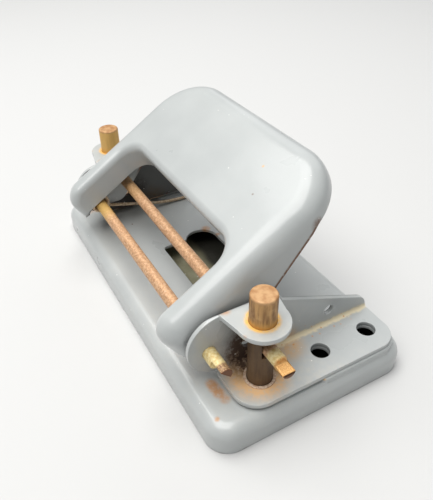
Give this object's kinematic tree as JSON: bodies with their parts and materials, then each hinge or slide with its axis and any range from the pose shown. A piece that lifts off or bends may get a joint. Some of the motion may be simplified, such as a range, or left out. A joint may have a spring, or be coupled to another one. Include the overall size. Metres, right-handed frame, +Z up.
{
  "type": "hole punch",
  "caption": "Two-hole desk punch with a pressed-steel tray, folded brackets, vertical punch pins and a one-piece U-shaped lever on two cross rods.",
  "frame": {"origin": "on the table, on the flat underside of the bottom cover, midway between the two punch pins", "axes": "+X along the punched holes, -Y towards the side where paper goes in, +Y towards the hand side, +Z up"},
  "size_m": [0.0978, 0.0512, 0.045],
  "materials": {
    "tray_enamel": "glossy light grey enamel, dusty, chipped at the edges",
    "lever_enamel": "glossy light grey enamel with small chips and rust specks",
    "bracket_enamel": "grey enamel with rust stains round the pin",
    "cover_plastic": "khaki, matt",
    "pin_copper": "tarnished coppery steel with a brassy sheen",
    "rod_copper": "tarnished coppery steel with zinc-yellow ends",
    "bush_steel": "tarnished steel",
    "die_steel": "bare steel",
    "spring_steel": "spring steel wire, slightly rusty"
  },
  "bodies": {
    "base": {"base_tray": "tray_enamel", "bottom_cover": "cover_plastic", "right_bracket": "bracket_enamel", "left_bracket": "bracket_enamel", "right_guide_bush": "bush_steel", "left_guide_bush": "bush_steel", "right_die_plate": "die_steel", "left_die_plate": "die_steel", "axle_rod": "rod_copper", "right_return_spring": "spring_steel", "left_return_spring": "spring_steel"},
    "lever": {"lever": "lever_enamel", "drive_rod": "rod_copper"},
    "right_pin": {"right_punch_pin": "pin_copper"},
    "left_pin": {"left_punch_pin": "pin_copper"}
  },
  "joints": [
    {"name": "lever_press", "type": "hinge", "parent": "base", "child": "lever", "pos_m": [0, -0.0088, 0.01547], "axis": [-1, 0, 0], "range_deg": [0, 28], "stiffness_Nm_per_rad": 0.2, "springref_deg": -34.38, "deforming": ["right_return_spring", "left_return_spring"]},
    {"name": "right_pin_slide", "type": "slide", "parent": "base", "child": "right_pin", "axis": [0, 0, -1], "range_m": [0, 0.00466]},
    {"name": "left_pin_slide", "type": "slide", "parent": "base", "child": "left_pin", "axis": [0, 0, -1], "range_m": [0, 0.00466]}
  ],
  "couplings": [
    {"joint": "right_pin_slide", "follows": "lever_press", "m_per_rad": 0.00952},
    {"joint": "left_pin_slide", "follows": "lever_press", "m_per_rad": 0.00952}
  ]
}
